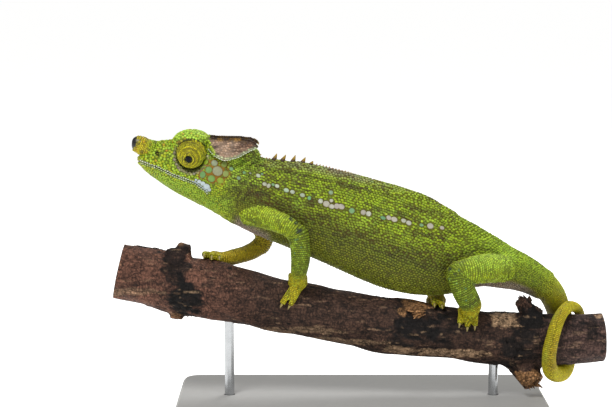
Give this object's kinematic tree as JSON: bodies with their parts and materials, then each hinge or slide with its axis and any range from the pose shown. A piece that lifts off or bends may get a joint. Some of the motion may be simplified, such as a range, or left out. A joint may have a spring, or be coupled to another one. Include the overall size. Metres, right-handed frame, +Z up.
{
  "type": "still model of a yellow-green chameleon on a perch",
  "caption": "Life-size still model of a green chameleon walking on a short length of branch, its tail wound round it, on a plain display stand.",
  "frame": {"origin": "middle of the stand base's underside", "axes": "+Z up, the animal's head towards -X, its left side towards -Y"},
  "size_m": [0.1632, 0.062, 0.0947],
  "materials": {
    "skin": "satin, finely scaled",
    "throat_skin": "satin, finely scaled",
    "limb_skin": "satin, finely scaled",
    "hand_skin": "satin, finely scaled",
    "lobe_skin": "satin, smooth scales",
    "eyelid_skin": "satin, ringed granules",
    "horn": "satin scales",
    "eye": "wet gloss",
    "bark": "rough bark",
    "stand_plate": "satin lacquer",
    "stand_steel": "brushed"
  },
  "bodies": {
    "root": {"head": "skin", "lower_jaw": "throat_skin", "rostral_horn": "horn", "occipital_lobe_left": "lobe_skin", "occipital_lobe_right": "lobe_skin", "eye_turret_left": "eyelid_skin", "eye_turret_right": "eyelid_skin", "eyeball_left": "eye", "eyeball_right": "eye", "neck": "skin", "trunk": "skin", "pelvis": "skin", "tail_base": "skin", "tail_coil_1": "limb_skin", "tail_coil_2": "limb_skin", "upper_arm_left": "skin", "forearm_left": "limb_skin", "hand_left": "hand_skin", "upper_arm_right": "skin", "forearm_right": "limb_skin", "hand_right": "hand_skin", "thigh_left": "skin", "shank_left": "limb_skin", "foot_left": "hand_skin", "thigh_right": "skin", "shank_right": "limb_skin", "foot_right": "hand_skin", "perch": "bark", "stand_base": "stand_plate", "stand_rod_left": "stand_steel", "stand_rod_right": "stand_steel"}
  },
  "joints": []
}
